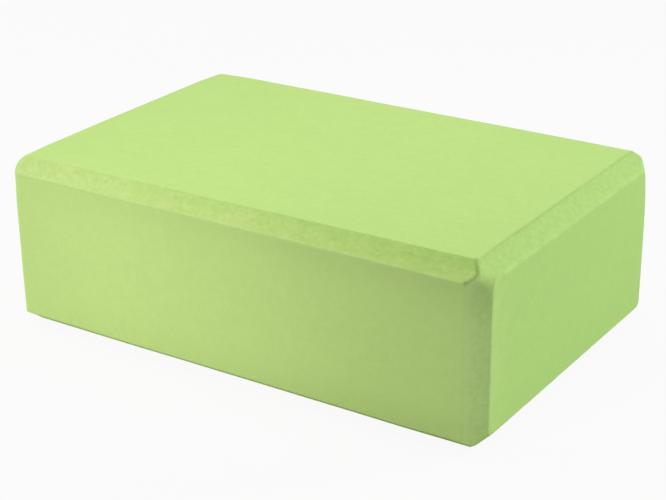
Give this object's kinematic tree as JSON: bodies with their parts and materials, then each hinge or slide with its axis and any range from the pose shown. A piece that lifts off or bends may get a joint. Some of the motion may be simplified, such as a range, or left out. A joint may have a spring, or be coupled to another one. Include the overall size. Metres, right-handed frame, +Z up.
{
  "type": "yoga block",
  "caption": "Light green closed-cell foam brick with bevelled edges and eased corners, a firm support for hands, seat or feet in floor exercise.",
  "frame": {"origin": "centre of the face that the block stands on when it lies flat", "axes": "+X along the length, +Y across the width, +Z up through the thickness"},
  "size_m": [0.2286, 0.1524, 0.0762],
  "materials": {
    "green_foam": "matte",
    "bond_adhesive": "satin"
  },
  "bodies": {
    "root": {"lower_foam_ply": "green_foam", "bond_film": "bond_adhesive", "upper_foam_ply": "green_foam"}
  },
  "joints": []
}
